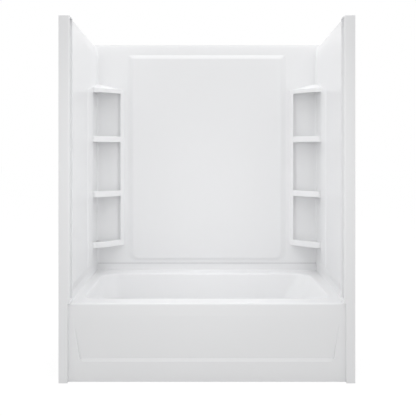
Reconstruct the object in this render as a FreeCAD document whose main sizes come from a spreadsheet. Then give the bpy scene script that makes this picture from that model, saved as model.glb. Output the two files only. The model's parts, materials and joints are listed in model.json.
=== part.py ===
import FreeCAD, Part
import math
import os
import re
import Sketcher

# Alcove bath with a three-sided moulded wall surround, two corner shelf towers
# and the waste and overflow set that the bath needs to hold water.
# Millimetres. +X to the right, +Y away from the bather's side, +Z up.
# The origin is on the floor, in the middle of the alcove.

# Driving dimensions

SIZES = {
    # alcove
    "alcove_width": 1524.0,
    "alcove_depth": 762.0,
    "kit_height": 1894.0,
    # moulded skins
    "skin": 5.0,
    "shell_wall": 6.0,
    "nailing_wall": 6.0,
    "nailing_lip": 12.0,
    "nail_hole_radius": 2.4,
    "nail_pitch_back": 400.0,
    "nail_pitch_end": 240.0,
    # wall faces, measured in from the studs
    "end_offset": 38.0,
    "end_front_offset": 52.0,
    "back_offset": 24.0,
    "crown_height": 68.0,
    "end_flare": 14.0,
    "back_flare": 8.0,
    "corner_cove": 14.0,
    "back_overlap": 20.0,
    "foot_border": 24.0,
    "border_rise": 5.0,
    "border_bevel": 8.0,
    # raised field of the back wall
    "field_end_margin": 244.0,
    "field_rise": 10.0,
    "field_foot": 20.0,
    "field_side_bevel": 31.0,
    "field_top_bevel": 27.0,
    "field_foot_bevel": 13.0,
    "field_foot_corner": 50.0,
    "field_top_corner": 12.0,
    # front columns
    "column_width": 57.0,
    "column_depth": 60.0,
    "column_wall": 5.0,
    "column_round": 10.0,
    "column_outer_round": 3.0,
    "column_top_round": 4.0,
    "column_leg_step": 11.0,
    "column_drop": 4.0,
    # ribs behind the walls
    "rib_wall": 6.0,
    "back_rib_inset": 35.0,
    "end_rib_inset": 36.0,
    "rib_first": 120.0,
    # bath
    "rim_height": 406.0,
    "apron_setback": 17.0,
    "apron_reveal": 2.0,
    "apron_nose": 11.0,
    "apron_return": 34.0,
    "basin_end_ledge": 104.0,
    "basin_front_ledge": 105.0,
    "basin_back_ledge": 91.0,
    "basin_floor": 105.0,
    "drain_end_lean": 50.0,
    "backrest_lean": 190.0,
    "front_lean": 52.0,
    "back_lean": 52.0,
    "rim_corner_front": 62.0,
    "rim_corner_back": 96.0,
    "floor_corner": 88.0,
    "floor_round": 42.0,
    "rim_roll": 9.0,
    # upstand that carries the walls
    "upstand_height": 46.0,
    "upstand_recess": 4.0,
    "upstand_cove": 8.0,
    "flange_rise": 28.0,
    "seal_height": 3.0,
    # recessed field of the apron
    "panel_top": 340.0,
    "panel_foot": 103.0,
    "panel_ledge": 15.0,
    "panel_depth": 12.0,
    "panel_end_top": 24.0,
    "panel_end_foot": 59.0,
    "panel_corner": 26.0,
    # stiffening webs between apron and basin
    "web_wall": 5.0,
    "web_foot": 250.0,
    "web_pitch": 260.0,
    # shelf towers
    "shelf_reach_end": 145.0,
    "shelf_reach_back": 160.0,
    "shelf_stand_off": 31.0,
    "shelf_front_radius": 520.0,
    "post_length": 266.0,
    "post_rise": 5.0,
    "post_toe": 179.0,
    "lip_height": 38.0,
    "lip_wall": 8.0,
    "lip_under_wall": 6.0,
    "tray_depth": 14.0,
    "tray_wall": 6.0,
    "lip_round": 3.0,
    "cap_lip": 25.0,
    "cap_slope": 56.0,
    "cap_crown": 40.0,
    "shelf_low": 615.0,
    "shelf_mid": 937.0,
    "shelf_high": 1288.0,
    "shelf_cap": 1592.0,
    # support pad
    "pad_end_margin": 248.0,
    "pad_width": 300.0,
    # waste and overflow
    "drain_inset": 118.0,
    "drain_hole": 24.0,
    "drain_boss": 46.0,
    "drain_boss_drop": 4.0,
    "drain_seat_depth": 3.0,
    "strainer_rim": 38.0,
    "strainer_barrel": 22.5,
    "strainer_bore": 18.5,
    "strainer_mouth": 22.5,
    "strainer_length": 24.0,
    "strainer_bar": 5.0,
    "strainer_hub": 8.0,
    "gasket_wall": 3.0,
    "gasket_radius": 40.0,
    "shoe_flange": 4.0,
    "shoe_body": 28.0,
    "shoe_wall": 3.0,
    "shoe_depth": 50.0,
    "pipe_height": 60.0,
    "pipe_radius": 19.05,
    "pipe_wall": 1.8,
    "socket_radius": 24.0,
    "socket_play": 0.2,
    "socket_depth": 18.0,
    "tee_arm": 40.0,
    "tee_offset": 150.0,
    "nut_radius": 30.0,
    "nut_length": 16.0,
    "nut_cover": 10.0,
    "nut_play": 0.1,
    "outlet_radius": 24.15,
    "outlet_wall": 3.7,
    "outlet_gap": 2.0,
    "washer_wall": 3.0,
    "overflow_height": 285.0,
    "overflow_hole": 30.0,
    "overflow_seat": 38.0,
    "overflow_gap": 5.0,
    "overflow_gasket_inner": 31.0,
    "elbow_flange": 5.0,
    "elbow_drop": 50.0,
    "plate_radius": 40.0,
    "plate_wall": 6.0,
    "plate_skin": 2.0,
    "plate_rim": 3.0,
    "plate_round": 2.5,
    "plate_slot": 7.0,
    "screw_radius": 2.4,
    "screw_head": 4.6,
    "screw_head_height": 2.4,
    "screw_length": 40.0,
    "screw_spread": 17.0,
    "screw_play": 1.4,
    "elbow_bar": 8.0,
    # toe-touch stopper
    "post_radius": 4.0,
    "post_collar": 6.5,
    "post_collar_height": 2.0,
    "post_height": 24.0,
    "stopper_play": 0.1,
    "stopper_gap": 0.4,
    "stopper_radius": 27.0,
    "stopper_rise": 6.0,
    "stopper_stem": 8.5,
    "stopper_stem_length": 18.0,
    "stopper_roof": 2.0,
    "stopper_seal_radius": 20.0,
    "stopper_seal_wall": 2.6,
    # corner clips
    "clip_wall": 1.5,
    "clip_height": 32.0,
    "clip_grip": 15.5,
    # cutting tools run past the surface that they cut by this much
    "overrun": 2.0,
    # where edges are picked, lengths closer than this count as the same
    "edge_slack": 1.0,
}

# Places that follow from the driving dimensions

PLACES = {
    "half_width": "alcove_width / 2",
    "half_depth": "alcove_depth / 2",
    "end_face": "half_width - end_offset",
    "end_front": "half_width - end_front_offset",
    "back_face": "half_depth - back_offset",
    "column_face": "half_width - column_width",
    "column_back": "column_depth - half_depth",
    "leg_face": "column_face + column_leg_step",
    "column_top": "kit_height - column_drop",
    "crown_top": "kit_height - nailing_lip",
    "crown_start": "crown_top - crown_height",
    "stud_line_end": "half_width - nailing_wall",
    "stud_line_back": "half_depth - nailing_wall",
    "upstand_top": "rim_height + upstand_height",
    "upstand_end": "end_face - border_rise + upstand_recess",
    "upstand_front": "end_front - border_rise + upstand_recess",
    "upstand_back": "back_face + upstand_recess",
    "wall_foot": "upstand_top + seal_height",
    "border_top": "wall_foot + foot_border",
    "back_edge": "end_face + back_overlap",
    "field_low": "wall_foot + field_foot",
    "field_high": "crown_start + field_top_bevel / 2",
    "field_half": "half_width - field_end_margin",
    "apron_face": "apron_setback - half_depth",
    "apron_half": "leg_face - apron_reveal",
    "panel_half_top": "apron_half - panel_end_top",
    "panel_half_foot": "apron_half - panel_end_foot",
    "basin_half": "half_width - basin_end_ledge",
    "pad_half": "basin_half - pad_end_margin",
    "basin_front": "basin_front_ledge - half_depth",
    "basin_back": "back_face - basin_back_ledge",
    "basin_axis": "(basin_front + basin_back) / 2",
    "basin_under": "basin_floor - shell_wall",
    "deck_under": "rim_height - shell_wall",
    "drain_wall_slope": "drain_end_lean / (rim_height - basin_floor)",
    "lean_angle": "atan(drain_wall_slope) / 1 deg",
    "lean_sine": "sin(atan(drain_wall_slope))",
    "lean_cosine": "cos(atan(drain_wall_slope))",
    "overflow_wall": "(rim_height - overflow_height) * drain_wall_slope - basin_half",
    "overflow_top": "overflow_height + overflow_seat",
    "elbow_face": "(rim_height - overflow_top) * drain_wall_slope - basin_half - shell_wall - overflow_gap",
    "shelf_out": "back_face - shelf_reach_end",
    "shelf_in": "shelf_reach_back - end_face",
    "shelf_in_front": "back_face - shelf_stand_off",
    "post_front": "back_face - post_length",
    "crown_turn": "back_face - corner_cove * 2",
    "crown_end": "end_face + end_flare",
    "crown_slope": "(crown_end - end_front) / (crown_turn - column_back)",
    "crown_middle": "end_front + (post_front - column_back) * crown_slope",
    "post_back": "post_toe - end_face",
    "cap_under": "shelf_cap - cap_lip",
    "cap_peak": "shelf_cap + cap_slope",
    "drain_place": "drain_inset - basin_half",
    "drain_seat": "basin_floor - drain_seat_depth",
    "boss_under": "basin_under - drain_boss_drop",
    "shoe_top": "boss_under - gasket_wall",
    "shoe_foot": "shoe_top - shoe_depth",
    "strainer_foot": "drain_seat - strainer_length",
    "bar_top": "strainer_foot + strainer_bar",
    "shoe_mouth": "drain_place - shoe_body - socket_depth",
    "tee_place": "drain_place - tee_offset",
    "tee_right": "tee_place + tee_arm",
    "tee_left": "tee_place - tee_arm",
    "tee_top": "pipe_height + tee_arm",
    "elbow_foot": "overflow_height - elbow_drop",
    "pipe_bore": "pipe_radius - pipe_wall",
    "socket_bore": "pipe_radius + socket_play",
}

# Shares of a height at which ribs and clips stand

rib_shares = (0.0, 0.25, 0.5, 0.75, 1.0)
clip_shares = (0.07, 0.36, 0.64, 0.93)

# Shares of a shelf's inset that fall along X and Y, square to its slanted front

front_slope_shares = (0.6, 0.8)


class Model:
    """The document, its sheet of sizes and short ways to add parts to it."""

    def __init__(self):
        self.doc = FreeCAD.newDocument("bath_and_surround")
        self.sheet = self.doc.addObject("Spreadsheet::Sheet", "sizes")
        rows = [(name, str(value)) for name, value in SIZES.items()]
        rows += [(name, "=" + rule) for name, rule in PLACES.items()]
        for row, (name, content) in enumerate(rows, start=1):
            self.sheet.set(f"A{row}", name)
            self.sheet.set(f"B{row}", content)
            self.sheet.setAlias(f"B{row}", name)
        self.names = {name for name, _ in rows}
        self.doc.recompute()

    def link(self, rule):
        """The rule with each named size pointed at its cell."""
        return re.sub(r"[a-z_]+", lambda m: "sizes." + m[0] if m[0] in self.names else m[0], rule)

    def number(self, rule):
        """The value of a rule in millimetres."""
        return float(self.sheet.evalExpression(self.link(rule)))

    def bind(self, item, **rules):
        """Bind properties of an object to rules."""
        for prop, rule in rules.items():
            item.setExpression(prop, self.link(rule))
        return item

    def place(self, item, x, y, z):
        """Bind the place of an object."""
        item.setExpression("Placement.Base.x", self.link(x))
        item.setExpression("Placement.Base.y", self.link(y))
        item.setExpression("Placement.Base.z", self.link(z))
        return item

    def box(self, name, x, y, z):
        """A box between pairs of planes."""
        item = self.doc.addObject("Part::Box", name)
        spans = [f"({high}) - ({low})" for low, high in (x, y, z)]
        self.bind(item, Length=spans[0], Width=spans[1], Height=spans[2])
        return self.place(item, x[0], y[0], z[0])

    def rod(self, name, radius, span, centre, axis="Z"):
        """A cylinder along X, Y or Z between two planes; centre gives the other two places."""
        item = self.doc.addObject("Part::Cylinder", name)
        self.bind(item, Radius=radius, Height=f"({span[1]}) - ({span[0]})")
        turns = {"X": ((0, 1, 0), 90), "Y": ((1, 0, 0), -90), "Z": ((0, 0, 1), 0)}
        way, angle = turns[axis]
        item.Placement.Rotation = FreeCAD.Rotation(FreeCAD.Vector(*way), angle)
        spots = {"X": (span[0], *centre), "Y": (centre[0], span[0], centre[1]), "Z": (*centre, span[0])}
        return self.place(item, *spots[axis])

    def fuse(self, name, items):
        """One solid of several that touch or overlap."""
        item = self.doc.addObject("Part::MultiFuse", name)
        item.Shapes = items
        item.Refine = True
        return item

    def cut(self, name, base, tools):
        """The base without the tools."""
        item = self.doc.addObject("Part::Cut", name)
        item.Base = base
        item.Tool = tools[0] if len(tools) == 1 else self.fuse(name + "_tools", tools)
        item.Refine = True
        return item

    def common(self, name, first, second):
        """What two shapes share."""
        item = self.doc.addObject("Part::Common", name)
        item.Base = first
        item.Tool = second
        return item

    def group(self, name, items):
        """Separate solids under one name."""
        item = self.doc.addObject("Part::Compound", name)
        item.Links = items
        return item

    def mirror(self, name, source):
        """The mirror image across the middle plane of the alcove."""
        item = self.doc.addObject("Part::Mirroring", name)
        item.Source = source
        item.Normal = FreeCAD.Vector(1, 0, 0)
        return item

    def rounded(self, name, base, radius, chosen):
        """The base with the chosen edges rounded."""
        self.doc.recompute()
        edges = edges_where(base.Shape, chosen)
        size = self.number(radius)
        item = self.doc.addObject("Part::Fillet", name)
        item.Base = base
        item.Edges = [(number, size, size) for number in edges]
        return item

    def body(self, name):
        """An empty body."""
        return self.doc.addObject("PartDesign::Body", name)

    def sketch(self, body, name, role, offset):
        """An empty sketch on a plane of the body, moved along the plane's normal."""
        item = body.newObject("Sketcher::SketchObject", name)
        plane = [part for part in body.Origin.OriginFeatures if part.Role == role][0]
        item.AttachmentSupport = [(plane, "")]
        item.MapMode = "FlatFace"
        item.setExpression("AttachmentOffset.Base.z", self.link(offset))
        return item

    def pin_point(self, item, index, end, corner):
        """Bind one end of a sketch line to a pair of rules."""
        for kind, rule in zip(("DistanceX", "DistanceY"), corner):
            held = item.addConstraint(Sketcher.Constraint(kind, index, end, self.number(rule)))
            item.setExpression(f"Constraints[{held}]", self.link(rule))

    def outline(self, body, name, role, offset, corners, bows=()):
        """A closed outline through corners; bows holds (side, radius, way) for arcs."""
        item = self.sketch(body, name, role, offset)
        spots = [FreeCAD.Vector(self.number(x), self.number(y), 0) for x, y in corners]
        arcs = {side: (radius, centre) for side, radius, centre in bows}
        count = len(corners)
        for side in range(count):
            start, stop = spots[side], spots[(side + 1) % count]
            if side in arcs:
                middle = bow_middle(start, stop, self.number(arcs[side][0]), arcs[side][1])
                item.addGeometry(Part.Arc(start, middle, stop), False)
            else:
                item.addGeometry(Part.LineSegment(start, stop), False)
        ends = [line_ends(item.Geometry[side], spots[side]) for side in range(count)]
        for side in range(count):
            after = (side + 1) % count
            item.addConstraint(Sketcher.Constraint("Coincident", side, ends[side][1], after, ends[after][0]))
        for side, corner in enumerate(corners):
            self.pin_point(item, side, ends[side][0], corner)
        for side, (radius, _) in arcs.items():
            held = item.addConstraint(Sketcher.Constraint("Radius", side, self.number(radius)))
            item.setExpression(f"Constraints[{held}]", self.link(radius))
        return item

    def soft_rectangle(self, body, name, role, offset, x, y, radii):
        """A rectangle whose two low and two high corners have their own radii."""
        left, right = x
        low, high = y
        near, far = radii
        corners = [
            (f"{left} + {near}", low), (f"{right} - {near}", low),
            (right, f"{low} + {near}"), (right, f"{high} - {far}"),
            (f"{right} - {far}", high), (f"{left} + {far}", high),
            (left, f"{high} - {far}"), (left, f"{low} + {near}"),
        ]
        bows = [(1, near, "out"), (3, far, "out"), (5, far, "out"), (7, near, "out")]
        return self.outline(body, name, role, offset, corners, bows)

    def pad(self, body, name, profile, length):
        """A pad of the profile along its normal."""
        item = body.newObject("PartDesign::Pad", name)
        item.Profile = profile
        self.bind(item, Length=length)
        profile.Visibility = False
        return item

    def loft(self, body, name, profile, *sections):
        """A straight-sided loft through outlines."""
        item = body.newObject("PartDesign::AdditiveLoft", name)
        item.Profile = profile
        item.Sections = list(sections)
        item.Ruled = True
        return item

    def round_edges(self, body, name, feature, radius, chosen):
        """A fillet in a body on the chosen edges of a feature."""
        self.doc.recompute()
        item = body.newObject("PartDesign::Fillet", name)
        item.Base = (feature, [f"Edge{number}" for number in edges_where(feature.Shape, chosen)])
        self.bind(item, Radius=radius)
        return item

    def prism(self, name, role, offset, corners, length, bows=()):
        """A body padded from one outline."""
        body = self.body(name)
        profile = self.outline(body, name + "_outline", role, offset, corners, bows)
        self.pad(body, name + "_pad", profile, length)
        return body

    def turned(self, name, corners, place):
        """A body revolved about its own Z axis; corners are (radius, height) rules."""
        body = self.body(name)
        profile = self.outline(body, name + "_outline", "XZ_Plane", "0", corners)
        item = body.newObject("PartDesign::Revolution", name + "_turn")
        item.Profile = profile
        item.ReferenceAxis = (profile, ["V_Axis"])
        item.Angle = 360
        self.place(body, *place)
        return body


def bow_middle(start, stop, radius, side):
    """The middle point of an arc from start to stop that bows to one side of its chord."""
    chord = stop - start
    sagitta = radius - math.sqrt(max(radius ** 2 - (chord.Length / 2) ** 2, 0))
    normal = FreeCAD.Vector(chord.y, -chord.x, 0).normalize()
    return (start + stop) / 2 + normal * (sagitta if side == "out" else -sagitta)


def line_ends(curve, start):
    """The numbers of a curve's first and last point, as the outline runs."""
    begins = (curve.StartPoint - start).Length < (curve.EndPoint - start).Length
    return (1, 2) if begins else (2, 1)


def edges_where(shape, chosen):
    """Numbers of the edges whose middle point and edge pass the test."""
    numbers = []
    for number, edge in enumerate(shape.Edges, start=1):
        if chosen(edge.BoundBox, edge):
            numbers.append(number)
    return numbers


def close_to(value, target, slack=0.05):
    """Whether two lengths are the same."""
    return abs(value - target) < slack


def basin_body(m, name, grow):
    """The volume of the basin, grown by a wall: a loft from the floor outline to the rim."""
    body = m.body(name)
    rim = m.soft_rectangle(
        body, name + "_rim", "XY_Plane", "rim_height",
        (f"-basin_half - {grow}", f"basin_half + {grow}"),
        (f"basin_front - {grow}", f"basin_back + {grow}"),
        (f"(rim_corner_front + {grow})", f"(rim_corner_back + {grow})"))
    floor = m.soft_rectangle(
        body, name + "_floor", "XY_Plane", f"basin_floor - {grow}",
        (f"drain_end_lean - basin_half - {grow}", f"basin_half - backrest_lean + {grow}"),
        (f"basin_front + front_lean - {grow}", f"basin_back - back_lean + {grow}"),
        (f"(floor_corner + {grow})", f"(floor_corner + {grow})"))
    walls = m.loft(body, name + "_walls", rim, floor)
    low = m.number(f"basin_floor - {grow}")
    m.round_edges(body, name + "_floor_round", walls, f"floor_round + {grow}",
                  lambda box, edge: close_to(box.ZMax, low) and close_to(box.ZMin, low))
    return body


def apron_recess(m, name, grow):
    """The wedge that dishes the apron: deepest at the foot, nothing at the top."""
    face = m.prism(
        name + "_plan", "XZ_Plane", "-apron_face - panel_depth * 2",
        [(f"-panel_half_foot - {grow}", f"panel_foot - {grow}"),
         (f"panel_half_foot + {grow}", f"panel_foot - {grow}"),
         (f"panel_half_top + {grow}", f"panel_top + {grow}"),
         (f"-panel_half_top - {grow}", f"panel_top + {grow}")],
        "panel_depth * 4")
    soft = m.rounded(
        name + "_soft", face, f"panel_corner + {grow}",
        lambda box, edge: (box.YLength > m.number("edge_slack")
                           and box.ZMax < m.number("panel_foot + panel_ledge")))
    wedge = m.prism(
        name + "_wedge", "YZ_Plane", f"-panel_half_top - {grow} - overrun",
        [(f"apron_face - overrun + {grow}", f"panel_foot - {grow}"),
         (f"apron_face + {grow}", f"panel_foot - {grow}"),
         (f"apron_face + panel_depth + {grow}", f"panel_foot + panel_ledge - {grow}"),
         (f"apron_face + {grow}", "panel_top"),
         (f"apron_face - overrun + {grow}", "panel_top")],
        f"(panel_half_top + {grow} + overrun) * 2")
    return m.common(name, soft, wedge)


def tub_shell(m):
    """Basin, deck, apron and the upstand that carries the walls, in one moulding."""
    deck = m.prism(
        "deck", "XY_Plane", "deck_under",
        [("-apron_half", "apron_face"), ("apron_half", "apron_face"),
         ("apron_half", "column_back + upstand_recess"),
         ("upstand_front + shell_wall", "column_back + upstand_recess"),
         ("upstand_end + shell_wall", "post_front"),
         ("upstand_end + shell_wall", "upstand_back + shell_wall"),
         ("-upstand_end - shell_wall", "upstand_back + shell_wall"),
         ("-upstand_end - shell_wall", "post_front"),
         ("-upstand_front - shell_wall", "column_back + upstand_recess"),
         ("-apron_half", "column_back + upstand_recess")],
        "shell_wall")
    end_upstand = m.prism(
        "right_upstand", "XY_Plane", "deck_under",
        [("upstand_front", "column_back + upstand_recess"),
         ("upstand_front + shell_wall", "column_back + upstand_recess"),
         ("upstand_end + shell_wall", "post_front"),
         ("upstand_end + shell_wall", "upstand_back + shell_wall"),
         ("upstand_end", "upstand_back + shell_wall"), ("upstand_end", "post_front")],
        "upstand_top - deck_under")
    end_ledge = m.prism(
        "right_ledge", "XY_Plane", "upstand_top - shell_wall",
        [("upstand_front", "column_back + upstand_recess"), ("half_width", "column_back + upstand_recess"),
         ("half_width", "half_depth"), ("upstand_end", "half_depth"), ("upstand_end", "post_front")],
        "shell_wall")
    tray = [deck, end_upstand, m.mirror("left_upstand", end_upstand),
            m.box("back_upstand", ("-upstand_end", "upstand_end"),
                  ("upstand_back", "upstand_back + shell_wall"), ("deck_under", "upstand_top"))]
    pieces = [end_ledge, m.mirror("left_ledge", end_ledge),
              m.box("apron", ("-apron_half", "apron_half"),
                    ("apron_face", "apron_face + shell_wall"), ("0", "rim_height"))]
    end_span = ("column_back + upstand_recess", "half_depth")
    for side, sign in (("left", "-"), ("right", "")):
        def across(low, high, sign=sign):
            """A span in X on one side of the bath."""
            return (f"-({high})", f"-({low})") if sign else (low, high)
        pieces += [
            m.box(f"{side}_apron_return", across("apron_half - shell_wall", "apron_half"),
                  ("apron_face", "apron_face + apron_return"), ("0", "rim_height")),
            m.box(f"{side}_flange", across("stud_line_end", "half_width"), end_span,
                  ("upstand_top - shell_wall", "upstand_top + flange_rise")),
        ]
    rim, front = m.number("rim_height"), m.number("apron_face")
    end, back = m.number("upstand_end + edge_slack"), m.number("upstand_back")
    inner_end, behind = m.number("upstand_front - edge_slack"), m.number("column_back")
    wall = m.number("shell_wall")
    pieces.append(m.rounded("tub_cove", m.fuse("tub_tray", tray), "upstand_cove", lambda box, edge: (
        close_to(box.ZMin, rim) and close_to(box.ZMax, rim)
        and ((close_to(box.YMin, back) and close_to(box.YMax, back))
             or (min(abs(box.XMin), abs(box.XMax)) > inner_end and max(abs(box.XMin), abs(box.XMax)) < end
                 and box.YMin > behind and box.YLength > wall * 2)))))
    pieces += [
        m.box("back_ledge", ("-half_width", "half_width"), ("upstand_back", "half_depth"),
              ("upstand_top - shell_wall", "upstand_top")),
        m.box("back_flange", ("-half_width", "half_width"), ("stud_line_back", "half_depth"),
              ("upstand_top - shell_wall", "upstand_top + flange_rise")),
    ]
    for step in (-2, -1, 0, 1, 2):
        middle = f"web_pitch * {step}"
        pieces.append(m.box(
            f"apron_web_{step + 3}", (f"{middle} - web_wall / 2", f"{middle} + web_wall / 2"),
            ("apron_face + shell_wall", "basin_front + front_lean"), ("web_foot", "deck_under")))
    pieces.append(apron_recess(m, "recess_skin", "shell_wall"))
    pieces.append(basin_body(m, "basin_outside", "shell_wall"))
    pieces.append(m.rod("drain_boss_pad", "drain_boss", ("boss_under", "basin_floor"),
                        ("drain_place", "basin_axis")))
    whole = m.fuse("tub_blank", pieces)
    hollow = m.cut("tub_hollow", whole, [
        basin_body(m, "basin_inside", "0"),
        apron_recess(m, "recess", "0"),
        m.rod("drain_seat_cut", "strainer_rim + upstand_recess", ("drain_seat", "rim_height"),
              ("drain_place", "basin_axis")),
        m.rod("drain_hole_cut", "drain_hole", ("boss_under - overrun", "rim_height"),
              ("drain_place", "basin_axis")),
        m.rod("overflow_hole_cut", "overflow_hole", ("-half_width", "overflow_wall + overflow_hole"),
              ("basin_axis", "overflow_height"), "X"),
    ])
    inner = m.number("basin_half + overrun"), m.number("basin_back + overrun")
    rolled = m.rounded("tub_rim", hollow, "rim_roll", lambda box, edge: (
        close_to(box.ZMin, rim) and close_to(box.ZMax, rim)
        and max(abs(box.XMin), abs(box.XMax)) < inner[0] and box.YMax < inner[1]
        and box.YMin > m.number("basin_front - overrun")))
    return m.rounded("tub_shell", rolled, "apron_nose", lambda box, edge: (
        close_to(box.ZMin, rim) and close_to(box.ZMax, rim)
        and close_to(box.YMin, front) and close_to(box.YMax, front)))


def cove_strip(m):
    """The rounded inside corner where the back wall meets an end wall, flared at the crown."""
    reach = m.number("corner_cove")
    levels = [("wall_foot", "0", "0"), ("crown_start", "0", "0"), ("crown_top", "end_flare", "back_flare")]
    bend = reach * (1 - math.sqrt(0.5))
    wires = []
    for height, out, back in levels:
        z = m.number(height)
        x, y = -m.number("end_face") - m.number(out), m.number("back_face") + m.number(back)
        corner = FreeCAD.Vector(x, y, z)
        along = FreeCAD.Vector(x + reach, y, z)
        forward = FreeCAD.Vector(x, y - reach, z)
        middle = FreeCAD.Vector(x + bend, y - bend, z)
        wires.append(Part.Wire([
            Part.LineSegment(corner, along).toShape(),
            Part.Arc(along, middle, forward).toShape(),
            Part.LineSegment(forward, corner).toShape()]))
    item = m.doc.addObject("Part::Feature", "cove_left")
    item.Shape = Part.makeLoft(wires, True, True)
    return item


def back_wall_panel(m, cove_left, cove_right):
    """The back wall: skin with a flared crown, raised field, returns, ribs and nail holes."""
    skin = m.prism(
        "back_skin", "YZ_Plane", "-back_edge",
        [("back_face", "wall_foot"), ("stud_line_back", "wall_foot"),
         ("stud_line_back", "wall_foot + skin"), ("back_face + skin", "wall_foot + skin"),
         ("back_face + skin", "crown_start"),
         ("back_face + back_flare + skin", "crown_top - skin"),
         ("half_depth", "crown_top - skin"), ("half_depth", "kit_height"),
         ("stud_line_back", "kit_height"), ("stud_line_back", "crown_top"),
         ("back_face + back_flare", "crown_top"), ("back_face", "crown_start")],
        "back_edge * 2")
    field = m.body("back_field")
    wide = m.soft_rectangle(
        field, "field_edge", "XZ_Plane", "-back_face",
        ("-field_half", "field_half"), ("field_low", "field_high"),
        ("field_foot_corner", "field_top_corner"))
    near = m.soft_rectangle(
        field, "field_front", "XZ_Plane", "field_rise - back_face",
        ("field_side_bevel - field_half", "field_half - field_side_bevel"),
        ("field_low + field_foot_bevel", "field_high - field_top_bevel"),
        ("field_foot_corner", "field_top_corner"))
    m.loft(field, "field_loft", wide, near)
    dish = m.body("field_dish")
    deep = m.soft_rectangle(
        dish, "dish_edge", "XZ_Plane", "-back_face - skin - overrun",
        ("field_side_bevel + skin - field_half", "field_half - field_side_bevel - skin"),
        ("field_low + field_foot_bevel + skin", "field_high - field_top_bevel - skin"),
        ("field_foot_corner", "field_top_corner"))
    m.pad(dish, "dish_pad", deep, "field_rise + overrun")
    ribs = []
    for step, share in enumerate(rib_shares, start=1):
        low = f"wall_foot + rib_first + (crown_start - wall_foot - rib_first * 2) * {share}"
        ribs.append(m.box(f"back_rib_{step}", ("back_rib_inset - back_edge", "back_edge - back_rib_inset"),
                          ("back_face + skin / 2", "half_depth"), (low, f"{low} + rib_wall")))
        ribs.append(m.box(f"field_rib_{step}",
                          ("field_side_bevel + skin - field_half", "field_half - field_side_bevel - skin"),
                          ("back_face - field_rise + skin / 2", "half_depth"), (low, f"{low} + rib_wall")))
    blank = m.fuse("back_blank", [skin, field])
    dished = m.cut("back_dished", blank, [dish])
    ribbed = m.fuse("back_ribbed", [dished, cove_left, cove_right] + ribs)
    holes = [m.rod(f"back_nail_{step + 3}", "nail_hole_radius",
                   ("stud_line_back - overrun", "half_depth + overrun"),
                   (f"nail_pitch_back * {step} / 2", "crown_top + nailing_lip / 2"), "Y")
             for step in (-3, -1, 1, 3)]
    return m.cut("back_wall_panel", ribbed, holes)


def end_section(m, body, name, place, face, crown):
    """The outline of an end wall at one place along its depth, from foot border to nailing lip."""
    return m.outline(
        body, f"end_skin_{name}", "XZ_Plane", f"-({place})",
        [(f"border_rise - {face}", "wall_foot"), (f"border_rise - {face}", "border_top"),
         (f"-{face}", "border_top + border_bevel"), (f"-{face}", "crown_start"),
         (f"-({crown})", "crown_top"), ("-stud_line_end", "crown_top"),
         ("-stud_line_end", "kit_height"), ("-half_width", "kit_height"),
         ("-half_width", "crown_top - skin"), (f"-({crown}) - skin", "crown_top - skin"),
         (f"-{face} - skin", "crown_start"), (f"-{face} - skin", "wall_foot + skin"),
         ("-stud_line_end", "wall_foot + skin"), ("-stud_line_end", "wall_foot")])


def end_wall_panel(m, cove):
    """The left end wall: bordered skin with a flared crown, front column, ribs and nail holes."""
    skin = m.body("end_skin")
    sections = [
        end_section(m, skin, "front", "column_back - column_wall", "end_front", "end_front"),
        end_section(m, skin, "middle", "post_front", "end_face", "crown_middle"),
        end_section(m, skin, "corner", "crown_turn", "end_face", "crown_end"),
        end_section(m, skin, "back", "back_face", "end_face", "crown_end"),
    ]
    m.loft(skin, "end_skin_loft", *sections)
    column = m.body("column")
    plan = m.outline(
        column, "column_plan", "XY_Plane", "0",
        [("-half_width + column_outer_round", "-half_depth"), ("-column_face - column_round", "-half_depth"),
         ("-column_face", "column_round - half_depth"), ("-column_face", "column_back"),
         ("-half_width", "column_back"), ("-half_width", "column_outer_round - half_depth")],
        [(1, "column_round", "out"), (5, "column_outer_round", "out")])
    m.pad(column, "column_pad", plan, "column_top")
    m.round_edges(column, "column_top", column.Tip, "column_top_round",
                  lambda box, edge: (
                      close_to(box.ZMin, m.number("column_top"))
                      and box.YMin < m.number("column_back - edge_slack")))
    hollow = m.box("column_hollow", ("-half_width + column_wall", "-column_face - column_wall"),
                   ("-half_depth + column_wall", "column_back - column_wall"),
                   ("rim_height + column_wall", "column_top - column_wall"))
    leg_hollow = m.box("leg_hollow", ("-half_width + column_wall", "-leg_face - column_wall"),
                       ("-half_depth + column_wall", "column_back - column_wall"),
                       ("-overrun", "rim_height"))
    notch = m.box("leg_notch", ("-leg_face", "overrun - column_face"),
                  ("-half_depth - overrun", "column_back + overrun"),
                  ("-overrun", "rim_height + seal_height / 3"))
    ribs = []
    for step, share in enumerate(rib_shares, start=1):
        low = f"wall_foot + rib_first + (crown_start - wall_foot - rib_first * 2) * {share}"
        ribs.append(m.prism(
            f"end_rib_{step}", "XY_Plane", low,
            [("-half_width", "column_back - column_wall / 2"),
             ("-end_front - skin / 2", "column_back - column_wall / 2"),
             ("-end_face - skin / 2", "post_front"), ("-end_face - skin / 2", "back_face - end_rib_inset"),
             ("-half_width", "back_face - end_rib_inset")],
            "rib_wall"))
    turn = m.box("end_return", ("-back_edge", "-end_face - skin / 2"), ("back_face - skin", "back_face"),
                 ("wall_foot", "crown_start"))
    blank = m.fuse("end_blank", [skin, column, turn] + ribs)
    holes = [m.rod(f"end_nail_{step + 2}", "nail_hole_radius",
                   ("-half_width - overrun", "overrun - stud_line_end"),
                   (f"nail_pitch_end * {step}", "crown_top + nailing_lip / 2"), "X")
             for step in (-1, 0, 1)]
    return m.cut("left_end_wall_panel", blank, [hollow, leg_hollow, notch, cove] + holes)


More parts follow.
